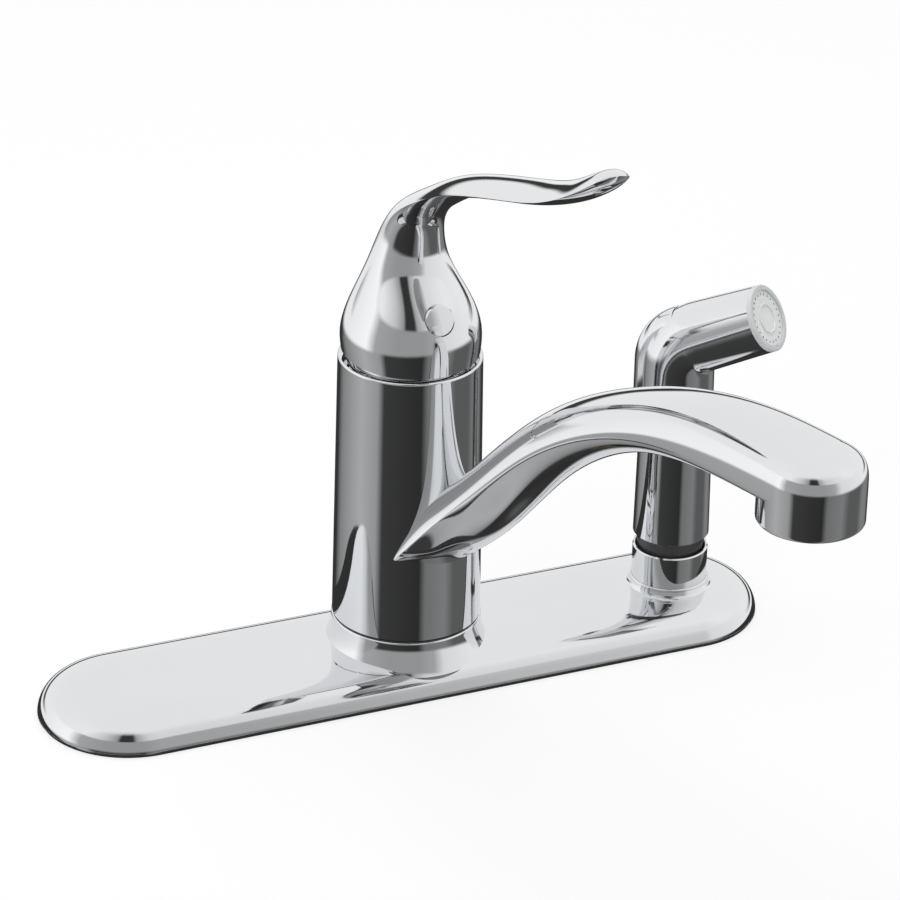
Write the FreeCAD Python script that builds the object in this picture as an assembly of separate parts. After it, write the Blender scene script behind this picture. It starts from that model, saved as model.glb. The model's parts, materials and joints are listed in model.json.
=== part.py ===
import FreeCAD, Part
import os
from math import asin, cos, hypot, pi, radians, sin, sqrt, tan

# Side spray kitchen faucet. Millimetres. The origin is on the deck surface, on the axis of
# the valve body. +X runs along the deck plate to the spray, -Y points at the user, +Z is up.

Vector = FreeCAD.Vector
up = Vector(0, 0, 1)
across = Vector(1, 0, 0)
front = Vector(0, -1, 0)

# Clearances
running_gap = 0.06          # radial, turning or sliding fits
thrust_gap = 0.10           # between faces that slide over each other
seat_gap = 0.30             # around a loose or curved neighbour
screw_gap = 0.05            # radial, threads drawn as plain cylinders
overcut = 1.0               # how far a cutting solid runs past what it cuts

# Deck and deck plate
hole_spacing = 101.6
deck_thickness = 20.0
plate_end_radius = 31.4
plate_height = 11.5
plate_crown_radius = 300.0
plate_edge_round = 7.0
plate_wall = 2.0
gasket_thickness = 1.0
gasket_inset = 0.8
gasket_width = 6.0
base_thickness = 2.5
base_hole_radius = 8.0
base_hole_places = (-1.0, -0.5, 0.5)   # shares of the hole spacing

# Valve body: one brass column with its shank
shank_radius = 16.0
shank_length = 56.0
flange_radius = 25.0
flange_thickness = 3.0
column_radius = 21.6
shoulder_depth = 6.7        # below the rim of the sleeve
neck_radius = 20.1
neck_height = 2.9
thread_radius = 18.0
thread_height = 5.3
seat_height = 78.0
cartridge_radius = 15.4
port_radius = 4.6
port_depth = 12.0
port_circle = 8.2
water_radius = 3.2
seal_groove_width = 3.4
seal_wire = 2.6
seal_low = 32.0
seal_high = 74.0
gallery_low = 42.0
gallery_high = 62.0
gallery_depth = 4.0
gallery_hole = 2.6
hot_angle = 210.0
cold_angle = 330.0
mixed_angle = 90.0

# Collars that rise from the deck plate
body_collar_top = 20.1
body_collar_radius = 25.9
body_collar_foot = 29.2
holder_collar_top = 12.2
holder_collar_radius = 13.6
holder_collar_foot = 16.4
collar_foot_height = 9.0
glide_thickness = 0.45

# Spout: a sleeve that turns on the column, and an arm
spout_rest = 17.0           # degrees to the right of straight ahead
sleeve_low_radius = 25.65
sleeve_top_radius = 24.57
sleeve_top = 117.5
sleeve_rim_round = 0.7
lip_thickness = 2.5
lip_radius = 20.4
counterbore_radius = 22.3
spout_reach = 189.0
outlet_drop = 12.2          # below the arm's side edges at its end
outlet_radius = 17.05
outlet_bore = 11.2
outlet_bore_depth = 12.0
outlet_edge_round = 1.2
arm_water_radius = 6.0

# Aerator
aerator_lip_radius = 11.9
aerator_drop = 1.8
aerator_wall = 1.8
aerator_length = 11.5
aerator_disc = 6.0
screen_thickness = 0.5
screen_hole = 0.75
insert_holes = 12
insert_circle = 5.6
screen_pitch = 2.4
aerator_washer_thickness = 1.0

# Cartridge
seal_ring_outer = 5.0
seal_ring_inner = 3.3
seal_ring_height = 1.6
cartridge_base_height = 8.0
disc_radius = 12.6
disc_thickness = 3.4
slider_radius = 9.0
slider_back = 2.5           # rest place of the moving disc behind the axis
disc_film = 0.03
disc_port_radius = 2.8
carrier_height = 7.0
housing_bore = 13.9
housing_neck = 12.2
housing_neck_height = 8.0
turret_head_height = 6.4
turret_wall = 1.0
finger_width = 6.0
finger_slack = 0.25
finger_arm = 4.0            # width of the lever's lower arm
finger_clearance = 1.0      # under and in front of the tip
stem_thickness = 6.0
stem_pivot_back = 9.0
stem_pivot_height = 124.0
stem_post_depth = 10.0
stem_post_top = 151.0
stem_post_front = 3.0
stem_finger_back = 2.0
stem_eye_radius = 3.2
pin_radius = 1.5
bonnet_flange_radius = 21.9
bonnet_flange_height = 2.9
bonnet_radius = 19.2
bonnet_top_thickness = 1.7
bonnet_notch = 3.2
bonnet_notches = 6

# Handle
handle_rest = 5.0           # degrees to the right of straight ahead
handle_bottom = 121.2
handle_mouth_radius = 21.4
handle_cavity_top = 128.5
handle_cavity_round = 16.5
button_radius = 5.25
button_thickness = 2.4
button_dome = 0.5
button_rise = 16.9          # above the handle's bottom
button_front = 21.0
button_tilt = 20.0
grub_radius = 2.5
grub_length = 8.0
grub_socket = 1.25

# Diverter, in the column under the cartridge
diverter_bore = 4.6
diverter_floor = 50.0
diverter_piston_radius = 4.5
diverter_piston_length = 9.0
diverter_travel = 3.0
diverter_stem = 1.6
diverter_clear = 1.0        # over the piston at the end of its travel
diverter_head = 2.0
diverter_skirt_length = 3.0
diverter_skirt_wall = 1.0
diverter_spring_radius = 4.3
diverter_spring_turns = 5
spring_wire = 0.8
spring_steps = 16           # straight runs in each turn
spring_sides = 8            # of the wire

# Fixings below the deck
fixing_gap = 0.5
rubber_washer_thickness = 3.0
steel_washer_thickness = 2.0
washer_radius = 26.0
nut_height = 10.0
nut_flats = 46.0
nut_sides = 6
holder_washer_radius = 18.0
holder_nut_flats = 32.0
holder_nut_height = 8.0

# Spray holder
holder_radius = 13.3
holder_top = 26.3
holder_cup_wall = 1.2
holder_floor = 17.0
holder_shank_radius = 11.2
holder_shank_length = 52.0
bushing_wall = 2.2
bushing_flange_height = 2.0
bushing_depth = 24.0
bushing_slack = 0.24        # around the hose end, which slides through it

# Spray handset: neck, elbow and head
spray_rest = 40.0           # degrees to the right of straight ahead
spray_bottom = 31.0
spray_foot_radius = 13.4
spray_foot_chamfer = 0.8
spray_neck_radius = 12.5
spray_head_radius = 11.75
spray_axis_crossing = 104.4
spray_tilt = 27.0           # of the head, above level
spray_bend_radius = 14.0
spray_face_reach = 36.4     # along the head axis, from where the two axes cross
core_radius = 11.2
core_top = 76.0
coupling_collar_radius = 12.3
coupling_stub_radius = 7.0
coupling_stub_bottom = 4.0
coupling_taper = 2.0
spigot_radius = 6.0
spigot_length = 11.0
clip_groove = 0.8
clip_width = 1.2
clip_set_back = 3.6         # of its groove, from the end of the spigot
hose_port_radius = 4.0
hose_port_depth = 10.0
face_radius = 9.9
face_thickness = 2.4
face_ring_thickness = 1.6
face_circle = 5.2
face_circle_wall = 0.5
face_circle_rise = 0.4
face_hole = 0.45
face_hole_circle = 8.4
face_holes = 24
face_sunk = 0.7             # of the face behind the front of its ring
face_ring_bevel = 0.4
head_bore_depth = 9.0

# Spray trigger and its valve
trigger_radius = 8.5        # across its back
trigger_neck_shift = 7.4    # of the middle of that back behind the neck axis
trigger_head_shift = 4.0    # and above the head axis
trigger_depth = 1.6         # of its inner face under the skin
trigger_half_width = 7.0
trigger_bottom = 78.0
trigger_end = 4.0           # along the head axis, from where the two axes cross
trigger_front = -9.0        # how far its sides reach forward of that crossing
trigger_clearance = 0.35
trigger_angle = 3.1
trigger_press_shares = (0.5, 1.0)
trigger_pivot_run = 0.5
trigger_pivot_off = 7.0     # above the head axis
trigger_pin_radius = 1.2
trigger_pin_length = 15.0
trigger_lug_radius = 2.4
trigger_lug_half = 4.0
valve_height = 84.0
valve_stem_radius = 1.5
valve_stem_inner = -0.5
valve_chamber_radius = 3.4
valve_chamber_back = 4.0
valve_chamber_front = -9.6
valve_plug_radius = 3.0
valve_plug_length = 2.4
valve_travel = 1.8
valve_spring_turns = 3
feed_radius = 2.5
feed_front = 6.0            # ahead of the neck axis
outlet_passage_radius = 2.2
outlet_passage_back = 2.0
head_passage_radius = 3.6


def rod(radius, bottom, top, x=0.0, y=0.0):
    return Part.makeCylinder(radius, top - bottom, Vector(x, y, bottom))


def ring(outer, inner, bottom, top, x=0.0, y=0.0):
    return rod(outer, bottom, top, x, y).cut(rod(inner, bottom, top, x, y))


def block(low, high):
    return Part.makeBox(high[0] - low[0], high[1] - low[1], high[2] - low[2], Vector(*low))


def edges_of(outline, to_space):
    """Edges through (a, b) corners; a corner written (a, b, am, bm) is reached by an arc."""
    edges = []
    start = outline[-1][:2]
    for corner in outline:
        end = corner[:2]
        if len(corner) == 4:
            arc = Part.Arc(to_space(*start), to_space(*corner[2:]), to_space(*end))
            edges.append(arc.toShape())
        else:
            edges.append(Part.makeLine(to_space(*start), to_space(*end)))
        start = end
    return edges


def upright(a, b):
    return Vector(a, 0, b)


def sideways(a, b):
    return Vector(0, a, b)


def turned(outline, angle=360.0, start=0.0):
    """Solid of revolution about Z from an outline of (radius, height) corners."""
    face = Part.Face(Part.Wire(edges_of(outline, upright)))
    face.rotate(Vector(), up, start)
    return face.revolve(Vector(), up, angle)


def plate_from(outline, half_thickness):
    """Flat piece from an outline of (y, z) corners, centred on X = 0."""
    face = Part.Face(Part.Wire(edges_of(outline, sideways)))
    face.translate(Vector(-half_thickness, 0, 0))
    return face.extrude(Vector(2 * half_thickness, 0, 0))


def stadium(radius, bottom, top):
    slab = block((-hole_spacing, -radius, bottom), (hole_spacing, radius, top))
    ends = [rod(radius, bottom, top, x) for x in (-hole_spacing, hole_spacing)]
    return slab.fuse(ends).removeSplitter()


def hexagon(flats, bottom, top, x=0.0):
    corner = flats / 2 / cos(pi / nut_sides)
    points = []
    for i in range(nut_sides + 1):
        a, b = polar(corner, i * 360.0 / nut_sides)
        points.append(Vector(x + a, b, bottom))
    return Part.Face(Part.makePolygon(points)).extrude(up * (top - bottom))


def polar(radius, angle):
    return radius * cos(radians(angle)), radius * sin(radians(angle))


def o_ring(radius, wire, height):
    """Round seal of the given outer radius."""
    return Part.makeTorus(radius - wire / 2, wire / 2, Vector(0, 0, height), up)


def coil(radius, wire, bottom, top, turns):
    """Compression spring whose wire stays between the two heights, drawn in short straight runs."""
    middle = radius - wire / 2
    runs = turns * spring_steps
    rise = (top - bottom - wire) / runs
    path = []
    for i in range(runs + 1):
        x, y = polar(middle, i * 360.0 / spring_steps)
        path.append(Vector(x, y, bottom + wire / 2 + i * rise))
    along = (path[1] - path[0]).normalize()
    side = (across - along * across.dot(along)).normalize()
    over = along.cross(side)
    rim = [polar(wire / 2, i * 360.0 / spring_sides) for i in range(spring_sides + 1)]
    profile = Part.makePolygon([path[0] + side * a + over * b for a, b in rim])
    return Part.makePolygon(path).makePipeShell([profile], True, False, 1)


# Heights that follow from the sizes above
base_top = gasket_thickness + base_thickness
flange_top = base_top + flange_thickness
sleeve_bottom = body_collar_top + glide_thickness + thrust_gap
sleeve_bore = column_radius + running_gap
column_shoulder = sleeve_top - shoulder_depth
lip_low = column_shoulder + thrust_gap
lip_top = lip_low + lip_thickness
thread_low = column_shoulder + neck_height
thread_top = thread_low + thread_height
cartridge_bottom = seat_height
base_part_top = cartridge_bottom + cartridge_base_height
disc_top = base_part_top + disc_thickness
slider_low = disc_top + disc_film
slider_top = slider_low + disc_thickness
carrier_top = slider_top + carrier_height
neck_low = thread_top - housing_neck_height
bonnet_top = thread_top + bonnet_top_thickness
turret_top = bonnet_top + turret_head_height
turret_bottom = carrier_top + thrust_gap
fixing_top = -deck_thickness - fixing_gap


# Deck plate group

def plate_outline(inset, floor):
    half_width = plate_end_radius - inset
    crown_radius = plate_crown_radius - inset
    edge_round = plate_edge_round - inset
    crown_centre = plate_height - plate_crown_radius
    round_out = half_width - edge_round
    reach = crown_radius - edge_round
    lean = asin(round_out / reach)
    round_up = crown_centre + reach * cos(lean)
    turn = (lean + pi / 2) / 2
    meet = (crown_radius * sin(lean), crown_centre + crown_radius * cos(lean))
    crown_mid = (crown_radius * sin(lean / 2), crown_centre + crown_radius * cos(lean / 2))
    edge_mid = (round_out + edge_round * sin(turn), round_up + edge_round * cos(turn))
    return [(0, floor), (0, crown_centre + crown_radius), meet + crown_mid,
            (half_width, round_up) + edge_mid, (half_width, floor)]


def plate_form(inset, floor):
    """Crowned bar with round ends, drawn in by the inset on every outer side."""
    half = plate_outline(inset, floor)
    end = turned(half, 180.0, -90.0)
    end.translate(Vector(hole_spacing, 0, 0))
    other_end = end.copy()
    other_end.rotate(Vector(), up, 180.0)
    face = Part.Face(Part.Wire(edges_of(half, sideways)))
    face.translate(Vector(-hole_spacing, 0, 0))
    side = face.extrude(Vector(2 * hole_spacing, 0, 0))
    other_side = side.copy()
    other_side.rotate(Vector(), up, 180.0)
    return side.fuse([other_side, end, other_end]).removeSplitter()


def collar(top_radius, top, foot_radius, foot, floor):
    """Boss whose wall leaves its top straight down and flares out to its foot."""
    out = foot_radius - top_radius
    drop = top - foot
    radius = (out ** 2 + drop ** 2) / (2 * out)
    half_turn = asin(drop / radius) / 2
    middle = (top_radius + radius * (1 - cos(half_turn)), top - radius * sin(half_turn))
    return turned([(0, floor), (foot_radius, floor), (foot_radius, foot), (top_radius, top) + middle,
                   (0, top)])


def escutcheon():
    shell = plate_form(0.0, gasket_thickness).cut(plate_form(plate_wall, gasket_thickness - overcut))
    body_boss = collar(body_collar_radius, body_collar_top, body_collar_foot, collar_foot_height, flange_top)
    holder_boss = collar(holder_collar_radius, holder_collar_top, holder_collar_foot, collar_foot_height,
                         flange_top)
    holder_boss.translate(Vector(hole_spacing, 0, 0))
    shell = shell.fuse([body_boss, holder_boss])
    shell = shell.cut(rod(column_radius + seat_gap, 0, body_collar_top + overcut))
    shell = shell.cut(rod(holder_shank_radius + seat_gap, 0, holder_collar_top + overcut, hole_spacing))
    return shell.removeSplitter()


def backing_plate():
    plate = stadium(plate_end_radius - plate_wall - seat_gap, gasket_thickness, base_top)
    plate = plate.cut(rod(shank_radius + seat_gap, 0, flange_top))
    plate = plate.cut(rod(holder_shank_radius + seat_gap, 0, flange_top, hole_spacing))
    for place in base_hole_places:
        plate = plate.cut(rod(base_hole_radius, 0, flange_top, place * hole_spacing))
    return plate


def deck_gasket():
    outer = plate_end_radius - gasket_inset
    hollow = stadium(outer - gasket_width, -overcut, gasket_thickness + overcut)
    return stadium(outer, 0, gasket_thickness).cut(hollow)


# Valve body

def groove(width, height, depth):
    return ring(column_radius + overcut, column_radius - depth, height - width / 2, height + width / 2)


def valve_body():
    body = turned([(0, -shank_length), (shank_radius, -shank_length), (shank_radius, base_top),
                   (flange_radius, base_top), (flange_radius, flange_top), (column_radius, flange_top),
                   (column_radius, column_shoulder), (neck_radius, column_shoulder),
                   (neck_radius, thread_low), (thread_radius, thread_low),
                   (thread_radius, thread_top), (0, thread_top)])
    body = body.cut(rod(cartridge_radius + screw_gap, seat_height, thread_top + overcut))
    for height in (seal_low, seal_high):
        body = body.cut(groove(seal_groove_width, height, seal_wire))
    middle = (gallery_low + gallery_high) / 2
    body = body.cut(groove(gallery_high - gallery_low, middle, gallery_depth))
    for angle in (hot_angle, cold_angle, mixed_angle):
        x, y = polar(port_circle, angle)
        body = body.cut(rod(port_radius, -shank_length - overcut, port_depth - shank_length, x, y))
        body = body.cut(rod(water_radius, -shank_length, seat_height + overcut, x, y))
    x, y = polar(port_circle, mixed_angle)
    body = body.cut(rod(diverter_bore, diverter_floor, seat_height + overcut, x, y))
    return body.cut(Part.makeCylinder(gallery_hole, column_radius, Vector(0, y, middle), Vector(0, 1, 0)))


def spout_seals():
    radius = column_radius
    return Part.makeCompound([o_ring(radius, seal_wire, height) for height in (seal_low, seal_high)])


def lower_glide_ring():
    top = body_collar_top + glide_thickness
    return ring(body_collar_radius - glide_thickness, column_radius + seat_gap, body_collar_top, top)


def bonnet_nut():
    nut = turned([(thread_radius + screw_gap, thread_low), (bonnet_flange_radius, thread_low),
                  (bonnet_flange_radius, thread_low + bonnet_flange_height),
                  (bonnet_radius, thread_low + bonnet_flange_height), (bonnet_radius, bonnet_top),
                  (housing_neck + seat_gap, bonnet_top), (housing_neck + seat_gap, thread_top),
                  (thread_radius + screw_gap, thread_top)])
    reach = bonnet_radius + overcut
    for i in range(bonnet_notches):
        notch = block((bonnet_radius - bonnet_top_thickness, -bonnet_notch / 2, thread_top),
                      (reach, bonnet_notch / 2, bonnet_top + overcut))
        notch.rotate(Vector(), up, i * 360.0 / bonnet_notches)
        nut = nut.cut(notch)
    return nut


# Cartridge

def port_places():
    return [polar(port_circle, angle) for angle in (hot_angle, cold_angle, mixed_angle)]


def cartridge_base():
    base = rod(cartridge_radius, cartridge_bottom, base_part_top)
    for x, y in port_places():
        seal_top = cartridge_bottom + seal_ring_height
        base = base.cut(rod(seal_ring_outer, cartridge_bottom - overcut, seal_top, x, y))
        base = base.cut(rod(water_radius, cartridge_bottom, base_part_top + overcut, x, y))
    return base


def cartridge_seals():
    top = cartridge_bottom + seal_ring_height
    return Part.makeCompound([ring(seal_ring_outer, seal_ring_inner, cartridge_bottom, top, x, y)
                              for x, y in port_places()])


def fixed_disc():
    disc = rod(disc_radius, base_part_top, disc_top)
    for x, y in port_places():
        disc = disc.cut(rod(disc_port_radius, base_part_top - overcut, disc_top + overcut, x, y))
    return disc


def moving_disc():
    disc = rod(slider_radius, slider_low, slider_top, 0, slider_back)
    hollow_top = slider_low + disc_thickness / 2
    return disc.cut(rod(slider_radius / 2, slider_low - overcut, hollow_top, 0, slider_back))


def carrier_socket():
    """Where the tip of the lever sits in the carrier."""
    half_y = finger_width / 2 + finger_slack
    half_x = stem_thickness / 2 + finger_slack
    return block((-half_x, stem_finger_back - half_y, slider_top + finger_clearance),
                 (half_x, stem_finger_back + half_y, carrier_top + overcut))


def disc_carrier():
    carrier = rod(slider_radius, slider_top, carrier_top, 0, slider_back)
    return carrier.cut(carrier_socket())


def cartridge_housing():
    housing = ring(cartridge_radius, housing_bore, base_part_top, neck_low)
    return housing.fuse(ring(cartridge_radius, housing_neck, neck_low, thread_top))


def lever_turret():
    bearing = housing_neck - running_gap
    turret = rod(housing_bore - running_gap, turret_bottom, neck_low - thrust_gap)
    turret = turret.fuse(rod(bearing, turret_bottom, turret_top))
    half_x = stem_thickness / 2 + running_gap
    low_back = stem_pivot_back + stem_eye_radius + seat_gap
    low = turret_bottom - overcut
    top = turret_top + overcut
    reach = housing_neck + overcut
    slot = block((-half_x, -housing_neck, low), (half_x, low_back, top))
    slot = slot.common(rod(bearing - turret_wall, low, top))
    open_top = block((-half_x, -reach, bonnet_top), (half_x, reach, top))
    return turret.cut(slot).cut(open_top).cut(pin_hole(pin_radius))


def pin_hole(radius):
    reach = 2 * housing_neck
    return Part.makeCylinder(radius, 2 * reach, Vector(-reach, stem_pivot_back, stem_pivot_height), across)


def stem_pin():
    half = sqrt((housing_neck - running_gap) ** 2 - (stem_pivot_back + pin_radius) ** 2)
    return Part.makeCylinder(pin_radius, 2 * half, Vector(-half, stem_pivot_back, stem_pivot_height), across)


def lever_stem():
    half = stem_thickness / 2
    pivot = Vector(-half, stem_pivot_back, stem_pivot_height)
    eye = Part.makeCylinder(stem_eye_radius, stem_thickness, pivot, across)
    finger_y = stem_finger_back
    finger_z = slider_top + finger_clearance + finger_width / 2 + finger_slack
    tip = Part.makeCylinder(finger_width / 2, stem_thickness, Vector(-half, finger_y, finger_z), across)
    arm = link(finger_y, finger_z, stem_pivot_back, stem_pivot_height, finger_arm / 2, half)
    post_back = stem_post_depth - stem_post_front
    post = block((-half, -stem_post_front, stem_pivot_height), (half, post_back, stem_post_top))
    stem = eye.fuse([tip, arm, post])
    return stem.cut(pin_hole(pin_radius + running_gap)).removeSplitter()


def link(y0, z0, y1, z1, half_width, half_thickness):
    """Flat bar between two points of the plane X = 0."""
    run = hypot(y1 - y0, z1 - z0)
    off_y = -(z1 - z0) / run * half_width
    off_z = (y1 - y0) / run * half_width
    return plate_from([(y0 + off_y, z0 + off_z), (y1 + off_y, z1 + off_z),
                       (y1 - off_y, z1 - off_z), (y0 - off_y, z0 - off_z)], half_thickness)


# Free-form sections

arch_angles = (0, 22, 45, 68, 90, 112, 135, 158, 180)   # degrees, where an arch has its points


def arch(half_width, height, fullness):
    """Points of half a superellipse, from side to side over the top."""
    points = []
    for degrees in arch_angles:
        c = cos(radians(degrees))
        s = sin(radians(degrees))
        side = (abs(c) ** (2 / fullness)) * (1 if c > 0 else -1)
        points.append((half_width * side, height * abs(s) ** (2 / fullness)))
    points[len(points) // 2] = (0.0, height)
    return points


def spline(points):
    curve = Part.BSplineCurve()
    curve.interpolate(points)
    return curve


def section(centre, normal, half_width, over, under, full_over, full_under):
    """Closed section: an arch over its two side edges and another under them."""
    upper = [centre + across * a + normal * b for a, b in arch(half_width, over, full_over)]
    lower = [centre + across * a - normal * b for a, b in arch(half_width, under, full_under)]
    return Part.Wire([spline(upper).toShape(), spline(lower[::-1]).toShape()])


# Spout. Each station of the arm, in the plane of the spout:
# reach, half width, height of the side edges, of the top, of the bottom, fullness over and under
arm_stations = [
    (13.0, 19.5, 49.0, 62.0, 44.0, 1.7, 1.7),
    (18.0, 19.6, 54.0, 70.0, 45.0, 1.7, 1.7),
    (30.0, 16.8, 68.0, 83.5, 52.5, 1.7, 1.8),
    (50.0, 15.0, 88.5, 104.2, 70.0, 1.8, 1.9),
    (75.0, 14.8, 112.0, 126.4, 98.0, 1.9, 2.0),
    (100.0, 15.2, 128.8, 141.2, 118.0, 2.0, 2.0),
    (130.0, 16.0, 140.3, 152.1, 131.6, 2.2, 2.0),
    (160.0, 16.8, 143.6, 156.1, 137.0, 2.4, 2.0),
    (spout_reach, outlet_radius, 143.2, 155.0, 138.0, 2.6, 2.0),
]
outlet_height = arm_stations[-1][2] - outlet_drop


def arm_section(station):
    reach, half_width, side, top, bottom, full_over, full_under = station
    centre = front * reach + up * side
    return section(centre, up, half_width, top - side, side - bottom, full_over, full_under)


def outlet_end():
    """Round end of the arm, with half of the arm's last section as its profile."""
    _, radius, side, top, _, fullness, _ = arm_stations[-1]
    crown = spline([Vector(a, 0, side + b) for a, b in arch(radius, top - side, fullness)])
    low = outlet_height
    bevel = outlet_edge_round
    wall = Part.makePolygon([Vector(radius, 0, side), Vector(radius, 0, low + bevel),
                             Vector(radius - bevel, 0, low), Vector(bevel - radius, 0, low),
                             Vector(-radius, 0, low + bevel), Vector(-radius, 0, side)])
    whole = Part.Face(Part.Wire([crown.toShape()] + wall.Edges))
    half = whole.common(block((0, -1, 0), (2 * radius, 1, 2 * top)))
    end = half.Faces[0].revolve(Vector(), up, 360.0)
    end.translate(front * spout_reach)
    return end


def arm_water(station):
    reach, _, _, top, bottom, _, _ = station
    centre = front * reach + up * (top + bottom) / 2
    return Part.Wire(Part.makeCircle(arm_water_radius, centre, front))


def spout():
    arm = Part.makeLoft([arm_section(s) for s in arm_stations], True, False)
    sleeve = turned([(0, sleeve_bottom), (sleeve_low_radius, sleeve_bottom),
                     (sleeve_top_radius, sleeve_top - sleeve_rim_round),
                     (sleeve_top_radius - sleeve_rim_round, sleeve_top), (0, sleeve_top)])
    body = sleeve.fuse([arm, outlet_end()])
    water = Part.makeLoft([arm_water(s) for s in arm_stations], True, False)
    body = body.cut(water)
    body = body.cut(rod(sleeve_bore, 0, lip_low))
    body = body.cut(rod(lip_radius, 0, sleeve_top + overcut))
    body = body.cut(rod(counterbore_radius, lip_top, sleeve_top + overcut))
    bore_top = outlet_height + outlet_bore_depth
    body = body.cut(rod(outlet_bore, 0, bore_top, 0, -spout_reach))
    return body.removeSplitter()


# Aerator, built at the origin and moved under the outlet

def at_outlet(shape):
    shape.translate(front * spout_reach + up * outlet_height)
    return shape


def aerator_housing():
    bore = outlet_bore - screw_gap - aerator_wall
    thread = outlet_bore - screw_gap
    top = aerator_length - aerator_drop
    return at_outlet(turned([(bore, -aerator_drop), (aerator_lip_radius, -aerator_drop),
                             (aerator_lip_radius, 0), (thread, 0), (thread, top), (bore, top)]))


def aerator_inner_radius():
    return outlet_bore - screw_gap - aerator_wall - screw_gap


def grid_holes(disc, bottom, top, limit):
    """Square grid of round holes inside the given radius."""
    count = int(limit / screen_pitch)
    for i in range(-count, count + 1):
        for j in range(-count, count + 1):
            x = i * screen_pitch
            y = j * screen_pitch
            if hypot(x, y) < limit:
                disc = disc.cut(rod(screen_hole, bottom - overcut, top + overcut, x, y))
    return disc


def aerator_screen():
    radius = aerator_inner_radius()
    screen = rod(radius, 0, screen_thickness)
    return at_outlet(grid_holes(screen, 0, screen_thickness, radius - screen_pitch / 2))


def aerator_insert():
    radius = aerator_inner_radius()
    top = aerator_length - aerator_drop
    insert = rod(radius, top - aerator_disc, top)
    low = top - aerator_disc - overcut
    insert = insert.cut(rod(radius - aerator_wall, low, top - aerator_disc / 2))
    for i in range(insert_holes):
        x, y = polar(insert_circle, i * 360.0 / insert_holes)
        insert = insert.cut(rod(screen_hole, low, top + overcut, x, y))
    return at_outlet(insert)


def aerator_washer():
    low = aerator_length - aerator_drop
    radius = outlet_bore - screw_gap
    return at_outlet(ring(radius, radius - aerator_wall, low, low + aerator_washer_thickness))


# Handle. Each station of its spine: forward, height, lean of the section towards the back
# (degrees from level), half width, over (back or top side), under, fullness over and under
handle_stations = [
    (0.0, handle_bottom, 0.0, 23.2, 23.2, 23.2, 2.0, 2.0),
    (0.0, 126.0, 0.0, 23.8, 23.8, 23.8, 2.0, 2.0),
    (-0.3, 138.0, 0.0, 20.3, 20.6, 20.4, 2.0, 2.0),
    (-2.0, 150.0, 0.0, 14.5, 14.0, 12.6, 2.0, 2.0),
    (-0.8, 160.0, 8.0, 11.6, 10.4, 9.6, 2.0, 2.0),
    (3.0, 169.0, 28.0, 10.4, 7.2, 7.4, 1.9, 2.0),
    (10.0, 175.8, 47.0, 10.3, 5.2, 4.8, 1.8, 2.0),
    (19.5, 181.8, 60.0, 10.8, 4.8, 3.5, 1.8, 2.0),
    (32.0, 188.6, 64.0, 11.0, 5.0, 2.6, 1.8, 2.0),
    (55.0, 197.9, 71.0, 11.0, 4.9, 2.2, 1.8, 2.0),
    (80.0, 205.9, 72.0, 11.0, 4.9, 2.2, 1.8, 2.0),
    (98.4, 212.3, 68.0, 11.0, 5.0, 2.2, 1.8, 2.0),
    (111.7, 218.8, 59.0, 9.6, 4.9, 2.2, 1.8, 2.0),
    (121.0, 224.9, 53.0, 7.6, 4.3, 2.0, 1.8, 2.0),
    (128.3, 230.5, 52.0, 5.4, 3.0, 1.6, 1.9, 2.0),
]


def handle_section(station):
    reach, height, lean, half_width, over, under, full_over, full_under = station
    centre = front * reach + up * height
    back = Vector(0, cos(radians(lean)), sin(radians(lean)))
    return section(centre, back, half_width, over, under, full_over, full_under)


def handle_form():
    return Part.makeLoft([handle_section(s) for s in handle_stations], True, False)


def button_axis():
    """Point on the axis of the set screw, and its direction out of the handle."""
    tilt = radians(button_tilt)
    out = front * cos(tilt) + up * sin(tilt)
    return front * button_front + up * (handle_bottom + button_rise), out


def button_face():
    """Where the screw's axis leaves the handle."""
    point, out = button_axis()
    probe = Part.makeLine(point - out * button_front / 2, point + out * button_front)
    inside = handle_form().common(probe)
    return max((v.Point for v in inside.Vertexes), key=lambda p: p.dot(out))


def along_button(radius, start, end):
    """Cylinder on the screw's axis, between two depths below the handle's surface."""
    _, out = button_axis()
    return Part.makeCylinder(radius, start - end, button_face() - out * start, out)


def handle_cavity():
    wide = handle_mouth_radius
    return turned([(0, handle_bottom - overcut), (wide, handle_bottom - overcut), (wide, handle_bottom),
                   (handle_cavity_round, handle_cavity_top), (0, handle_cavity_top)])


def handle():
    form = handle_form().cut(handle_cavity())
    half_x = stem_thickness / 2 + screw_gap
    post_back = stem_post_depth - stem_post_front
    socket = block((-half_x, -stem_post_front - screw_gap, handle_bottom),
                   (half_x, post_back + screw_gap, stem_post_top + seat_gap))
    form = form.cut(socket)
    form = form.cut(along_button(button_radius + screw_gap, button_thickness, -button_front))
    return form.cut(along_button(grub_radius + screw_gap, grub_depth(), 0))


def grub_depth():
    """Depth along the screw's axis at which its end meets the front of the post."""
    tilt = radians(button_tilt)
    return (-button_face().y - stem_post_front) / cos(tilt) - (grub_radius + screw_gap) * tan(tilt)


def handle_set_screw():
    depth = grub_depth()
    screw = along_button(grub_radius, depth, depth - grub_length)
    return screw.cut(along_button(grub_socket, depth - grub_length / 2, depth - grub_length - overcut))


def plug_button():
    body = along_button(button_radius, button_thickness, 0)
    sphere_radius = (button_radius ** 2 + button_dome ** 2) / (2 * button_dome)
    _, out = button_axis()
    centre = button_face() - out * (sphere_radius - button_dome)
    dome = Part.makeSphere(sphere_radius, centre)
    cap = along_button(button_radius, 0, -2 * button_dome).common(dome)
    return body.fuse(cap).removeSplitter()


# Diverter

def diverter_place():
    return polar(port_circle, mixed_angle)


def diverter_low():
    """Underside of the piston's head at rest."""
    return seat_height - diverter_travel - diverter_clear - diverter_piston_length


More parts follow.
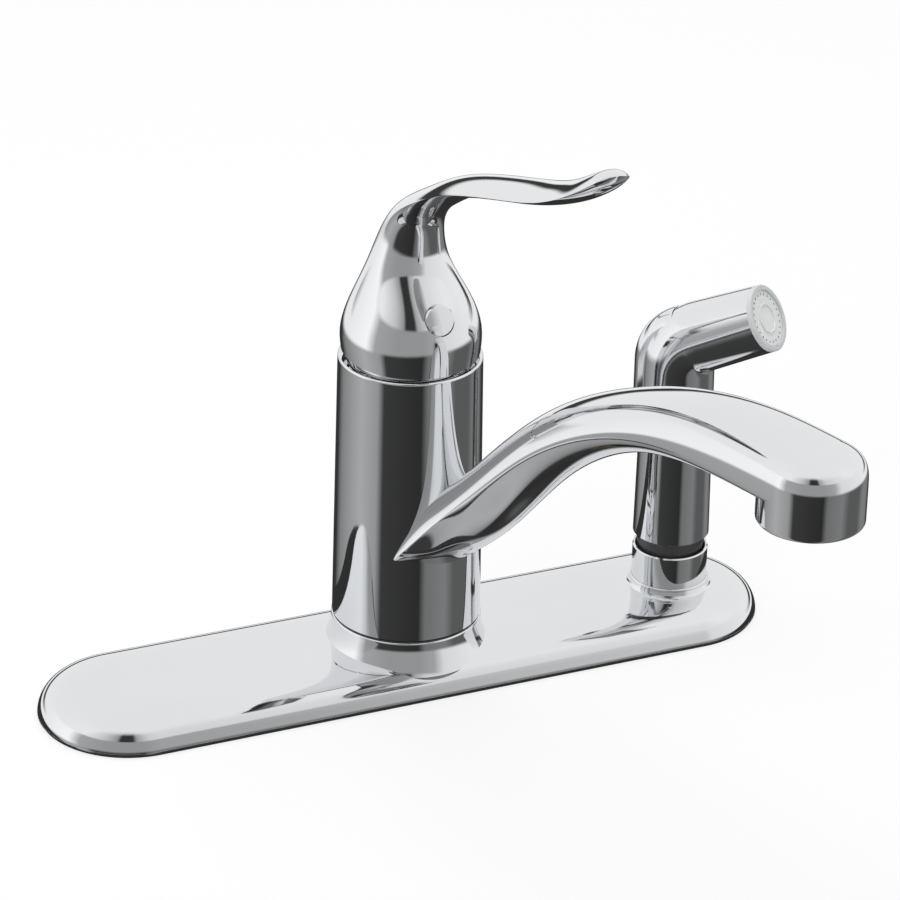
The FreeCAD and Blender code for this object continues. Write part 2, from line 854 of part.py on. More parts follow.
def diverter_piston():
    x, y = diverter_place()
    low = diverter_low()
    top = low + diverter_piston_length
    head = rod(diverter_piston_radius, low, top)
    head = head.cut(rod(diverter_stem, low - overcut, top - diverter_head))
    skirt = ring(diverter_stem + diverter_skirt_wall, diverter_stem, low - diverter_skirt_length, low)
    piston = head.fuse(skirt)
    piston.translate(Vector(x, y, 0))
    return piston


def diverter_spring():
    x, y = diverter_place()
    spring = coil(diverter_spring_radius, spring_wire, diverter_floor, diverter_low(), diverter_spring_turns)
    spring.translate(Vector(x, y, 0))
    return spring


# Fixings below the deck

def shank_rubber_washer():
    low = fixing_top - rubber_washer_thickness
    return ring(washer_radius, shank_radius + seat_gap, low, fixing_top)


def shank_steel_washer():
    top = fixing_top - rubber_washer_thickness
    return ring(washer_radius, shank_radius + seat_gap, top - steel_washer_thickness, top)


def shank_nut():
    top = fixing_top - rubber_washer_thickness - steel_washer_thickness
    nut = hexagon(nut_flats, top - nut_height, top)
    return nut.cut(rod(shank_radius + running_gap, top - nut_height - overcut, top + overcut))


def holder_washer():
    low = fixing_top - steel_washer_thickness
    return ring(holder_washer_radius, holder_shank_radius + seat_gap, low, fixing_top, hole_spacing)


def holder_nut():
    top = fixing_top - steel_washer_thickness
    low = top - holder_nut_height
    nut = hexagon(holder_nut_flats, low, top, hole_spacing)
    return nut.cut(rod(holder_shank_radius + running_gap, low - overcut, top + overcut, hole_spacing))


# Spray holder

def to_spray(shape):
    """From straight ahead at the origin to the spray's place and rest angle."""
    shape.rotate(Vector(), up, spray_rest)
    shape.translate(Vector(hole_spacing, 0, 0))
    return shape


def spray_holder():
    cup = holder_radius - holder_cup_wall
    bore = holder_shank_radius - bushing_wall
    rim = holder_cup_wall / 3
    holder = turned([(bore, -holder_shank_length), (holder_shank_radius, -holder_shank_length),
                     (holder_shank_radius, holder_collar_top), (holder_radius, holder_collar_top),
                     (holder_radius, holder_top - rim), (holder_radius - rim, holder_top),
                     (cup + rim, holder_top), (cup, holder_top - rim), (cup, holder_floor),
                     (bore, holder_floor)])
    return to_spray(holder)


def bushing_bore():
    return coupling_stub_radius + bushing_slack


def holder_bushing():
    outer = holder_shank_radius - bushing_wall
    flange = holder_radius - holder_cup_wall - seat_gap / 2
    top = holder_floor + bushing_flange_height
    low = holder_floor - bushing_depth
    return to_spray(turned([(bushing_bore(), low), (outer, low), (outer, holder_floor),
                            (flange, holder_floor), (flange, top), (bushing_bore(), top)]))


def collar_seat():
    return holder_floor + bushing_flange_height + thrust_gap


def hose_coupling():
    top = spray_bottom - 2 * thrust_gap
    low_radius = coupling_collar_radius - coupling_taper
    groove_low = top + spigot_length - clip_set_back
    groove_radius = spigot_radius - clip_groove
    coupling = turned([(0, coupling_stub_bottom), (coupling_stub_radius, coupling_stub_bottom),
                       (coupling_stub_radius, collar_seat()), (low_radius, collar_seat()),
                       (coupling_collar_radius, top), (spigot_radius, top), (spigot_radius, groove_low),
                       (groove_radius, groove_low), (groove_radius, groove_low + clip_width),
                       (spigot_radius, groove_low + clip_width), (spigot_radius, top + spigot_length),
                       (0, top + spigot_length)])
    coupling = coupling.cut(rod(hose_port_radius, 0, coupling_stub_bottom + hose_port_depth))
    return to_spray(coupling.cut(rod(water_radius, 0, spray_bottom + spigot_length + overcut)))


def coupling_clip():
    low = spray_bottom - 2 * thrust_gap + spigot_length - clip_set_back
    outer = spigot_radius + clip_groove
    clip = ring(outer, spigot_radius - clip_groove, low, low + clip_width)
    gap = clip_width
    mouth = block((0, -gap, low - overcut), (outer + overcut, gap, low + clip_width + overcut))
    return to_spray(clip.cut(mouth))


# Spray handset

def head_direction():
    tilt = radians(spray_tilt)
    return front * cos(tilt) + up * sin(tilt)


def head_off():
    """Away from the head axis, upwards, in the plane of the handset."""
    tilt = radians(spray_tilt)
    return up * cos(tilt) - front * sin(tilt)


def head_point(run, off=0.0):
    return up * spray_axis_crossing + head_direction() * run + head_off() * off


def elbow_turn():
    return 90.0 - spray_tilt


def elbow_run():
    """From where the two axes cross to each end of the bend."""
    return spray_bend_radius * tan(radians(elbow_turn() / 2))


def tapered(start_radius, end_radius, length, start, direction):
    if start_radius == end_radius:
        return Part.makeCylinder(start_radius, length, start, direction)
    return Part.makeCone(start_radius, end_radius, length, start, direction)


def swept(neck_radii, head_radii, bottom, head_end, neck_shift=0.0, head_shift=0.0):
    """Neck, bend and head in one; the shifts move the neck back and the head up."""
    tilt = radians(spray_tilt)
    middle = (neck_radii[1] + head_radii[0]) / 2
    cross_run = head_shift * tan(tilt) - neck_shift / cos(tilt)
    start = Vector(0, neck_shift, head_point(cross_run, head_shift).z - elbow_run())
    foot = Vector(0, neck_shift, bottom)
    neck = tapered(neck_radii[0], neck_radii[1], start.z - bottom, foot, up)
    disc = Part.Face(Part.Wire(Part.makeCircle(middle, start)))
    bend = disc.revolve(start + front * spray_bend_radius, across, elbow_turn())
    run = cross_run + elbow_run()
    head = tapered(head_radii[0], head_radii[1], head_end - run, head_point(run, head_shift),
                   head_direction())
    return neck.fuse([bend, head])


def trigger_region(clearance):
    """Space behind the bend that the trigger may fill."""
    side = trigger_half_width + clearance
    reach = 2 * spray_axis_crossing
    region = block((-side, -reach, trigger_bottom - clearance), (side, reach, reach))
    beyond = Part.makeCylinder(reach, reach, head_point(trigger_end + clearance), head_direction())
    middle = head_direction() + up
    normal = Vector(0, middle.z, -middle.y).normalize()
    start = head_point(0) + normal * (trigger_front - clearance)
    before = Part.makeCylinder(reach, reach, start, normal * -1)
    return region.cut(beyond).cut(before)


def trigger_blank(clearance):
    """Curved bar over the back of the bend, grown by the clearance on every side."""
    low = trigger_bottom - trigger_half_width
    high = trigger_end + trigger_half_width
    back = trigger_radius + clearance
    under = spray_neck_radius - trigger_depth - clearance
    outer = swept((back, back), (back, back), low, high, trigger_neck_shift, trigger_head_shift)
    inner = swept((under, under), (under, under), low, high)
    return outer.common(trigger_region(clearance)).cut(inner)


def trigger_lug(clearance):
    """Ear that carries the trigger on its pin."""
    half = trigger_lug_half + clearance
    radius = trigger_lug_radius + clearance
    pivot = head_point(trigger_pivot_run, trigger_pivot_off)
    root = head_point(trigger_pivot_run, spray_neck_radius - trigger_depth / 2)
    ear = Part.makeCylinder(radius, 2 * half, pivot - across * half, across)
    return ear.fuse(link(pivot.y, pivot.z, root.y, root.z, radius, half))


def trigger_pin_shape(radius):
    pivot = head_point(trigger_pivot_run, trigger_pivot_off)
    return Part.makeCylinder(radius, trigger_pin_length, pivot - across * trigger_pin_length / 2, across)


def pressed(shape, share):
    moved = shape.copy()
    moved.rotate(head_point(trigger_pivot_run, trigger_pivot_off), across, -trigger_angle * share)
    return moved


def trigger_pocket():
    blank = trigger_blank(trigger_clearance)
    swings = [pressed(blank, share) for share in trigger_press_shares]
    return blank.fuse(swings + [trigger_lug(trigger_clearance)])


def level_rod(radius, front_end, back_end):
    """Rod of the valve, level and in the plane of the handset."""
    start = Vector(0, front_end, valve_height)
    return Part.makeCylinder(radius, back_end - front_end, start, front * -1)


def head_passage():
    """Waterway from the valve up into the head."""
    top = spray_axis_crossing - outlet_passage_back * tan(radians(spray_tilt))
    rise = rod(outlet_passage_radius, valve_height, top, 0, outlet_passage_back)
    start = Vector(0, outlet_passage_back, top)
    run = Part.makeCylinder(head_passage_radius, spray_face_reach, start, head_direction())
    return rise.fuse([run, Part.makeSphere(head_passage_radius, start)])


def spray_shell():
    head_end = spray_face_reach - face_ring_thickness
    foot_edge = spray_bottom + spray_foot_chamfer
    shell = swept((spray_foot_radius, spray_neck_radius), (spray_neck_radius, spray_head_radius),
                  foot_edge, head_end)
    foot = Part.makeCone(spray_foot_radius - spray_foot_chamfer, spray_foot_radius, spray_foot_chamfer,
                         up * spray_bottom)
    shell = shell.fuse(foot)
    shell = shell.cut(rod(core_radius + screw_gap, 0, core_top))
    shell = shell.cut(rod(feed_radius, core_top - overcut, valve_height, 0, -feed_front))
    shell = shell.cut(head_passage())
    shell = shell.cut(level_rod(valve_chamber_radius, valve_chamber_front, valve_chamber_back))
    shell = shell.cut(level_rod(valve_stem_radius + running_gap, 0, spray_neck_radius))
    bore_start = head_point(spray_face_reach - head_bore_depth)
    shell = shell.cut(Part.makeCylinder(face_radius + screw_gap, head_bore_depth, bore_start,
                                        head_direction()))
    shell = shell.cut(trigger_pocket())
    return to_spray(shell.cut(trigger_pin_shape(trigger_pin_radius)))


def spray_core():
    core = rod(core_radius, spray_bottom + thrust_gap, core_top)
    bore_top = spray_bottom + spigot_length + thrust_gap
    core = core.cut(rod(spigot_radius + running_gap, 0, bore_top))
    clip_top = bore_top - clip_width
    core = core.cut(rod(spigot_radius + clip_groove + thrust_gap, clip_top - clip_set_back, clip_top))
    return to_spray(core.cut(rod(feed_radius, bore_top - overcut, core_top + overcut, 0, -feed_front)))


def onto_face(shape, depth):
    """From the origin, facing up, to a depth behind the face of the head."""
    shape.rotate(Vector(), across, 90 - spray_tilt)
    shape.translate(head_point(spray_face_reach - depth))
    return to_spray(shape)


def spray_face():
    disc = rod(face_radius, 0, face_thickness)
    for i in range(face_holes):
        x, y = polar(face_hole_circle, i * 360.0 / face_holes)
        disc = disc.cut(rod(face_hole, -overcut, face_thickness + overcut, x, y))
    rise = face_thickness + face_circle_rise
    disc = disc.fuse(ring(face_circle, face_circle - face_circle_wall, face_thickness / 2, rise))
    return onto_face(disc, face_thickness + face_sunk)


def face_ring():
    inner = face_radius + screw_gap
    top = face_ring_thickness
    band = turned([(inner, 0), (spray_head_radius, 0), (spray_head_radius, top - face_ring_bevel),
                   (spray_head_radius - face_ring_bevel, top), (inner, top)])
    return onto_face(band, face_ring_thickness)


def spray_trigger():
    lever = trigger_blank(0.0).fuse(trigger_lug(0.0))
    return to_spray(lever.cut(trigger_pin_shape(trigger_pin_radius + running_gap)))


def trigger_pin():
    return to_spray(trigger_pin_shape(trigger_pin_radius))


def spray_valve():
    end = spray_neck_radius - trigger_depth - seat_gap
    stem = level_rod(valve_stem_radius, valve_stem_inner, end)
    plug = level_rod(valve_plug_radius, valve_stem_inner - valve_plug_length, valve_stem_inner)
    return to_spray(stem.fuse(plug))


def valve_spring():
    length = valve_stem_inner - valve_plug_length - valve_travel - valve_chamber_front
    spring = coil(valve_plug_radius, spring_wire, 0, length, valve_spring_turns)
    spring.rotate(Vector(), across, -90)
    spring.translate(Vector(0, valve_chamber_front, valve_height))
    return to_spray(spring)


def headed(shape, heading):
    shape.rotate(Vector(), up, heading)
    return shape


parts = {
    "escutcheon": escutcheon,
    "backing_plate": backing_plate,
    "deck_gasket": deck_gasket,
    "valve_body": valve_body,
    "spout_seals": spout_seals,
    "lower_glide_ring": lower_glide_ring,
    "bonnet_nut": bonnet_nut,
    "cartridge_base": cartridge_base,
    "cartridge_seals": cartridge_seals,
    "cartridge_housing": cartridge_housing,
    "fixed_disc": fixed_disc,
    "diverter_piston": diverter_piston,
    "diverter_spring": diverter_spring,
    "shank_rubber_washer": shank_rubber_washer,
    "shank_steel_washer": shank_steel_washer,
    "shank_nut": shank_nut,
    "holder_washer": holder_washer,
    "holder_nut": holder_nut,
    "spray_holder": spray_holder,
    "holder_bushing": holder_bushing,
    "hose_coupling": hose_coupling,
    "coupling_clip": coupling_clip,
    "spray_shell": spray_shell,
    "spray_core": spray_core,
    "spray_face": spray_face,
    "face_ring": face_ring,
    "spray_trigger": spray_trigger,
    "trigger_pin": trigger_pin,
    "spray_valve": spray_valve,
    "valve_spring": valve_spring,
}
handle_parts = {
    "moving_disc": moving_disc,
    "disc_carrier": disc_carrier,
    "lever_turret": lever_turret,
    "stem_pin": stem_pin,
    "lever_stem": lever_stem,
    "handle": handle,
    "handle_set_screw": handle_set_screw,
    "plug_button": plug_button,
}
spout_parts = {
    "spout": spout,
    "aerator_housing": aerator_housing,
    "aerator_screen": aerator_screen,
    "aerator_insert": aerator_insert,
    "aerator_washer": aerator_washer,
}


def export(name, shape):
    print(name, len(shape.Solids), "solids", round(shape.Volume, 1), "mm3", "valid", shape.isValid())
    shape.exportStep("parts/" + name + ".step")


os.makedirs("parts", exist_ok=True)
for name, make in parts.items():
    export(name, make())
for name, make in handle_parts.items():
    export(name, headed(make(), handle_rest))
for name, make in spout_parts.items():
    export(name, headed(make(), spout_rest))
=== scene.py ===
import json
from math import asin, atan2, cos, pi, radians, sin

import bmesh
import bpy
import numpy as np
from mathutils import Matrix, Vector


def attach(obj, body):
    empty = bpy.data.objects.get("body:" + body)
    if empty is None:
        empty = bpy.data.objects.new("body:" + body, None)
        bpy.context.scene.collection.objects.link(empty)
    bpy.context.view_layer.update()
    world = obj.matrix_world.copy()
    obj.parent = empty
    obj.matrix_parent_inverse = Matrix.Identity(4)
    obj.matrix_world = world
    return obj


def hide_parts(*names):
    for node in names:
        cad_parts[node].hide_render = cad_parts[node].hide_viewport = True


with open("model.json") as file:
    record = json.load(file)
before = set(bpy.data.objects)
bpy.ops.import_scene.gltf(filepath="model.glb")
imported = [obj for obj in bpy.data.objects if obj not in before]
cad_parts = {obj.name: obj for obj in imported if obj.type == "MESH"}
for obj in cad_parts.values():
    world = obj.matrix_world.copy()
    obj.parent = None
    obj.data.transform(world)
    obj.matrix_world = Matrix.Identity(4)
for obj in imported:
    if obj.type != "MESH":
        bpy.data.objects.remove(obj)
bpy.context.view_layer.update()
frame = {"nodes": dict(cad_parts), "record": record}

# Side spray kitchen faucet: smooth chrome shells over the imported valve, spout, handle and spray.
# Sizes are in millimetres as on the drawing, and become metres when a piece is made.

mm = 0.001
restHeadings = {"spout": 17.0, "handle": 5.0}    # degrees from straight ahead, as in the frame
spoutTurn = Matrix.Rotation(radians(restHeadings["spout"]), 4, "Z")
handleTurn = Matrix.Rotation(radians(restHeadings["handle"]), 4, "Z")
scene = bpy.context.scene
print("frame loaded,", len(frame["nodes"]), "nodes")


# Finishes

finishSizes = {"smearDetail": 5.0, "grainDetail": 3.0, "smearFrom": 0.3, "smearTo": 0.7, "bumpDepth": 0.0004}
finishLooks = {
    "chrome": {"color": (0.80, 0.81, 0.82), "shade": (0.76, 0.77, 0.785), "metal": 1.0,
               "rough": (0.025, 0.075), "scale": 22.0, "bump": 0.012, "grain": 90.0},
    "sprayChrome": {"color": (0.80, 0.81, 0.82), "shade": (0.75, 0.765, 0.78), "metal": 1.0,
                    "rough": (0.035, 0.09), "scale": 30.0, "bump": 0.018, "grain": 120.0},
    "brass": {"color": (0.74, 0.57, 0.29), "shade": (0.62, 0.46, 0.22), "metal": 1.0,
              "rough": (0.22, 0.38), "scale": 60.0, "bump": 0.12, "grain": 40.0, "stretch": 40.0},
    "steel": {"color": (0.60, 0.61, 0.62), "shade": (0.50, 0.505, 0.515), "metal": 1.0,
              "rough": (0.20, 0.36), "scale": 70.0, "bump": 0.10, "grain": 60.0, "stretch": 20.0},
    "blackRubber": {"color": (0.030, 0.030, 0.031), "shade": (0.045, 0.044, 0.043), "metal": 0.0,
                    "rough": (0.62, 0.85), "scale": 140.0, "bump": 0.25, "grain": 1500.0},
    "blackPlastic": {"color": (0.035, 0.035, 0.038), "shade": (0.050, 0.050, 0.052), "metal": 0.0,
                     "rough": (0.30, 0.46), "scale": 120.0, "bump": 0.10, "grain": 1800.0},
    "backingPlastic": {"color": (0.10, 0.10, 0.11), "shade": (0.075, 0.075, 0.082), "metal": 0.0,
                       "rough": (0.42, 0.60), "scale": 80.0, "bump": 0.16, "grain": 1200.0},
    "greyPlastic": {"color": (0.42, 0.44, 0.46), "shade": (0.37, 0.39, 0.41), "metal": 0.0,
                    "rough": (0.34, 0.50), "scale": 90.0, "bump": 0.08, "grain": 1500.0},
    "whitePlastic": {"color": (0.82, 0.82, 0.80), "shade": (0.76, 0.76, 0.73), "metal": 0.0,
                     "rough": (0.30, 0.46), "scale": 90.0, "bump": 0.08, "grain": 1500.0},
    "whiteCeramic": {"color": (0.88, 0.87, 0.85), "shade": (0.83, 0.82, 0.79), "metal": 0.0,
                     "rough": (0.06, 0.14), "scale": 160.0, "bump": 0.03, "grain": 2200.0},
    "faceWhite": {"color": (0.80, 0.815, 0.81), "shade": (0.72, 0.735, 0.735), "metal": 0.0,
                  "rough": (0.24, 0.40), "scale": 200.0, "bump": 0.08, "grain": 1600.0},
    "faceGrey": {"color": (0.60, 0.62, 0.63), "shade": (0.52, 0.54, 0.555), "metal": 0.0,
                 "rough": (0.16, 0.28), "scale": 150.0, "bump": 0.05, "grain": 1600.0},
}


def makeFinish(name, look):
    finish = bpy.data.materials.new(name)
    finish.use_nodes = True
    nodes, links = finish.node_tree.nodes, finish.node_tree.links
    shader = nodes["Principled BSDF"]
    shader.inputs["Metallic"].default_value = look["metal"]
    place = nodes.new("ShaderNodeTexCoord")
    mapping = nodes.new("ShaderNodeMapping")
    mapping.inputs["Scale"].default_value = (1.0, 1.0, look.get("stretch", 1.0))
    links.new(place.outputs["Object"], mapping.inputs["Vector"])

    smear = nodes.new("ShaderNodeTexNoise")    # broad wipe marks, handling and plating variation
    smear.inputs["Scale"].default_value = look["scale"]
    smear.inputs["Detail"].default_value = finishSizes["smearDetail"]
    links.new(mapping.outputs["Vector"], smear.inputs["Vector"])
    spread = nodes.new("ShaderNodeMapRange")
    spread.inputs["From Min"].default_value = finishSizes["smearFrom"]
    spread.inputs["From Max"].default_value = finishSizes["smearTo"]
    spread.inputs["To Min"].default_value, spread.inputs["To Max"].default_value = look["rough"]
    links.new(smear.outputs["Fac"], spread.inputs["Value"])
    links.new(spread.outputs["Result"], shader.inputs["Roughness"])

    tint = nodes.new("ShaderNodeMix")
    tint.data_type = "RGBA"
    tint.inputs["A"].default_value = (*look["color"], 1.0)
    tint.inputs["B"].default_value = (*look["shade"], 1.0)
    links.new(smear.outputs["Fac"], tint.inputs["Factor"])
    links.new(tint.outputs["Result"], shader.inputs["Base Color"])

    grain = nodes.new("ShaderNodeTexNoise")    # fine grain of the surface
    grain.inputs["Scale"].default_value = look["grain"]
    grain.inputs["Detail"].default_value = finishSizes["grainDetail"]
    links.new(mapping.outputs["Vector"], grain.inputs["Vector"])
    bump = nodes.new("ShaderNodeBump")
    bump.inputs["Strength"].default_value = look["bump"]
    bump.inputs["Distance"].default_value = finishSizes["bumpDepth"]
    links.new(grain.outputs["Fac"], bump.inputs["Height"])
    links.new(bump.outputs["Normal"], shader.inputs["Normal"])
    return finish


finishes = {name: makeFinish(name, look) for name, look in finishLooks.items()}
slotFinish = {
    "plate_chrome": "chrome", "spout_chrome": "chrome", "handle_chrome": "chrome",
    "button_chrome": "chrome", "holder_chrome": "chrome", "aerator_chrome": "chrome",
    "bonnet_chrome": "chrome",
    "spray_chrome": "sprayChrome", "brass": "brass", "steel": "steel",
    "black_rubber": "blackRubber", "black_plastic": "blackPlastic",
    "backing_plastic": "backingPlastic", "grey_plastic": "greyPlastic",
    "white_plastic": "whitePlastic", "white_ceramic": "whiteCeramic",
    "face_white": "faceWhite", "face_grey": "faceGrey",
}
print("finishes made")


# Ways of making a piece

# merge in metres, creases in degrees
shopSizes = {"merge": 0.000002, "crease": 32.0, "copyCrease": 28.0, "cutterSides": 96, "latheSteps": 128}


def shaded(bm, sharp):
    for face in bm.faces:
        face.smooth = True
    for edge in bm.edges:
        edge.smooth = edge.calc_face_angle(0.0) < radians(sharp)


def asPiece(bm, name, body, slot, replaced=(), turn=None, sharp=shopSizes["crease"], closed=True):
    # turn takes a piece drawn straight ahead to its rest heading
    bmesh.ops.remove_doubles(bm, verts=bm.verts, dist=shopSizes["merge"])
    if closed:
        bmesh.ops.recalc_face_normals(bm, faces=bm.faces)
    if turn:
        bmesh.ops.transform(bm, matrix=turn, verts=bm.verts)
    shaded(bm, sharp)
    mesh = bpy.data.meshes.new(name)
    bm.to_mesh(mesh)
    bm.free()
    mesh.materials.append(finishes[slotFinish[slot]])
    piece = bpy.data.objects.new(name, mesh)
    scene.collection.objects.link(piece)
    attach(piece, body)
    if replaced:
        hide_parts(*replaced)
    return piece


def turned(outline, steps=shopSizes["latheSteps"], closed=True):
    # lathe work: (radius, height) corners spun about Z
    bm = bmesh.new()
    corners = [bm.verts.new((radius * mm, 0.0, height * mm)) for radius, height in outline]
    edges = [bm.edges.new(pair) for pair in zip(corners, corners[1:])]
    if closed:
        edges.append(bm.edges.new((corners[-1], corners[0])))
    bmesh.ops.spin(bm, geom=corners + edges, cent=(0, 0, 0), axis=(0, 0, 1), angle=2 * pi,
                   steps=steps, use_merge=True)
    return bm


def softArc(centre, radius, start, end, count):
    # points of an arc in the lathe's plane, angles in degrees from level
    turns = [radians(start + (end - start) * i / count) for i in range(count + 1)]
    return [(centre[0] + radius * cos(a), centre[1] + radius * sin(a)) for a in turns]


def throughStations(stations, count):
    # a smooth run of in-between stations, by a natural cubic through the drawn ones
    rows = np.array(stations, float)
    steps = np.hypot(np.diff(rows[:, 0]), np.diff(rows[:, 1]))
    knots = np.concatenate([[0.0], np.cumsum(steps)])
    gap = np.diff(knots)
    slope = np.diff(rows, axis=0) / gap[:, None]
    grid, pull = np.eye(len(rows)), np.zeros_like(rows)
    for i in range(1, len(rows) - 1):
        grid[i, i - 1:i + 2] = gap[i - 1], 2 * (gap[i - 1] + gap[i]), gap[i]
        pull[i] = 6 * (slope[i] - slope[i - 1])
    bend = np.linalg.solve(grid, pull)
    made = []
    for place in np.linspace(0.0, knots[-1], count):
        i = min(max(int(np.searchsorted(knots, place)) - 1, 0), len(rows) - 2)
        a = (knots[i + 1] - place) / gap[i]
        b = 1.0 - a
        eased = ((a ** 3 - a) * bend[i] + (b ** 3 - b) * bend[i + 1]) * gap[i] ** 2 / 6
        made.append(a * rows[i] + b * rows[i + 1] + eased)
    return made


def archRing(bm, centre, normal, halfWidth, over, under, fullOver, fullUnder, crisp, segments):
    # a circle pressed into an arch over its two side edges and a bowl under them
    made = bmesh.ops.create_circle(bm, segments=segments, radius=1.0)["verts"]
    for vert in made:
        angle = atan2(vert.co.y, vert.co.x)
        c, s = cos(angle), sin(angle)
        full = fullOver if s >= 0 else fullUnder
        out = halfWidth * abs(c) ** (2.0 / full) * (1 if c >= 0 else -1)
        rise = (over if s >= 0 else -under) * abs(s) ** (2.0 / crisp)
        vert.co = (centre + Vector((out, 0, 0)) + normal * rise) * mm
    return list({edge for vert in made for edge in vert.link_edges})


def bridged(bm, rings):
    # a skin from ring to ring, closed at both ends
    for first, second in zip(rings, rings[1:]):
        bmesh.ops.bridge_loops(bm, edges=first + second)
    for end in (rings[0], rings[-1]):
        bmesh.ops.contextual_create(bm, geom=end)


def cutAway(piece, *cutters):
    # takes the cutters out of the piece and deletes them
    for cutter in cutters:
        cut = piece.modifiers.new("cut", "BOOLEAN")
        cut.object = cutter
        cut.operation = "DIFFERENCE"
        cut.solver = "EXACT"
    bpy.context.view_layer.update()
    whole = piece.evaluated_get(bpy.context.evaluated_depsgraph_get())
    mesh = bpy.data.meshes.new_from_object(whole)
    piece.modifiers.clear()
    piece.data = mesh
    for cutter in cutters:
        bpy.data.objects.remove(cutter)
    bm = bmesh.new()
    bm.from_mesh(mesh)
    shaded(bm, shopSizes["crease"])
    bm.to_mesh(mesh)
    bm.free()


def rodCutter(radius, low, high, x=0.0, y=0.0, turn=None, tilt=None):
    bm = bmesh.new()
    bmesh.ops.create_cone(bm, cap_ends=True, segments=shopSizes["cutterSides"], radius1=radius * mm,
                          radius2=radius * mm, depth=(high - low) * mm)
    bmesh.ops.translate(bm, vec=(0, 0, (low + high) / 2 * mm), verts=bm.verts)
    if tilt:
        bmesh.ops.transform(bm, matrix=tilt, verts=bm.verts)
    bmesh.ops.translate(bm, vec=(x * mm, y * mm, 0), verts=bm.verts)
    if turn:
        bmesh.ops.transform(bm, matrix=turn, verts=bm.verts)
    mesh = bpy.data.meshes.new("cutter")
    bm.to_mesh(mesh)
    bm.free()
    cutter = bpy.data.objects.new("cutter", mesh)
    scene.collection.objects.link(cutter)
    return cutter


# Deck plate and its two collars

plateSizes = {"spacing": 101.6, "endRadius": 31.4, "height": 11.5, "fullness": 6.0, "wall": 2.0,
              "floor": 1.0, "rimFlat": 0.4, "rimBevel": 0.3, "cutTop": 30.0, "steps": 64, "outlineSteps": 40}
collarShape = {"rim": 0.5, "sunk": 6.6, "wallSteps": 16, "rimSteps": 4}    # sunk: where it ends in the plate
collarSizes = {
    "bodyCollar": {"x": 0.0, "bore": 21.9, "top": 20.1, "radius": 25.9, "foot": 29.2, "low": 9.0},
    "holderCollar": {"x": 101.6, "bore": 11.5, "seat": 12.2, "seatBore": 13.35, "top": 14.4,
                     "radius": 13.9, "foot": 17.4, "low": 10.8},
}


def plateOutline(inset, floor):
    # a broad soft top that falls ever faster to the edge
    sizes = plateSizes
    reach, rise = sizes["endRadius"] - inset, sizes["height"] - inset - sizes["floor"]
    outline = []
    for i in range(sizes["outlineSteps"]):
        share = sin(pi / 2 * i / sizes["outlineSteps"])
        outline.append((reach * share, sizes["floor"] + rise * (1.0 - share ** sizes["fullness"]) ** 0.5))
    return outline + [(reach, floor + sizes["rimFlat"]), (reach, floor)]


def makePlate():
    sizes = plateSizes
    reach = sizes["spacing"] * mm
    outer = plateOutline(0.0, sizes["floor"] + sizes["rimBevel"])
    inner = plateOutline(sizes["wall"], sizes["floor"])
    outline = outer + [(sizes["endRadius"] - sizes["rimBevel"], sizes["floor"])] + inner[::-1]
    bm = bmesh.new()
    corners = [bm.verts.new((reach, -radius * mm, height * mm)) for radius, height in outline]
    row = [bm.edges.new(pair) for pair in zip(corners, corners[1:])]
    for side in (1, -1):
        start = list({vert for edge in row for vert in edge.verts}) + row
        ends = bmesh.ops.spin(bm, geom=start, cent=(side * reach, 0, 0), axis=(0, 0, 1), angle=pi,
                              steps=sizes["steps"])["geom_last"]
        last = [g for g in ends if isinstance(g, bmesh.types.BMEdge)]
        made = bmesh.ops.extrude_edge_only(bm, edges=last)["geom"]
        moved = [g for g in made if isinstance(g, bmesh.types.BMVert)]
        bmesh.ops.translate(bm, vec=(-2 * side * reach, 0, 0), verts=moved)
        row = [g for g in made if isinstance(g, bmesh.types.BMEdge) and g.verts[0] in moved
               and g.verts[1] in moved]
    plate = asPiece(bm, "deckPlate", "mounting", "plate_chrome", ["escutcheon"])
    cutAway(plate, *(rodCutter(collar["bore"], 0.0, sizes["cutTop"], collar["x"])
                     for collar in collarSizes.values()))


def makeCollar(name):
    sizes, rounding, sunk = collarSizes[name], collarShape["rim"], collarShape["sunk"]
    out, drop = sizes["foot"] - sizes["radius"], sizes["top"] - sizes["low"]
    flare = (out ** 2 + drop ** 2) / (2 * out)
    turn = asin(drop / flare) * 180 / pi
    high = sizes["top"] - rounding
    wall = softArc((sizes["radius"] + flare, high), flare, 180.0, 180.0 + turn, collarShape["wallSteps"])
    rim = softArc((sizes["radius"] - rounding, high), rounding, 90.0, 0.0, collarShape["rimSteps"])
    seat = []
    if "seat" in sizes:    # room for the cup that stands in this collar
        seat = [(sizes["bore"], sizes["seat"]), (sizes["seatBore"], sizes["seat"])]
    mouth = (sizes.get("seatBore", sizes["bore"]), sizes["top"])
    bm = turned(seat + [mouth] + rim + wall[1:] + [(wall[-1][0], sunk), (sizes["bore"], sunk)])
    bmesh.ops.translate(bm, vec=(sizes["x"] * mm, 0, 0), verts=bm.verts)
    asPiece(bm, name, "mounting", "plate_chrome")


makePlate()
for name in collarSizes:
    makeCollar(name)
print("deck plate made")


# Spout: a tall sleeve, an arched arm that grows out of it, and the round outlet at its end

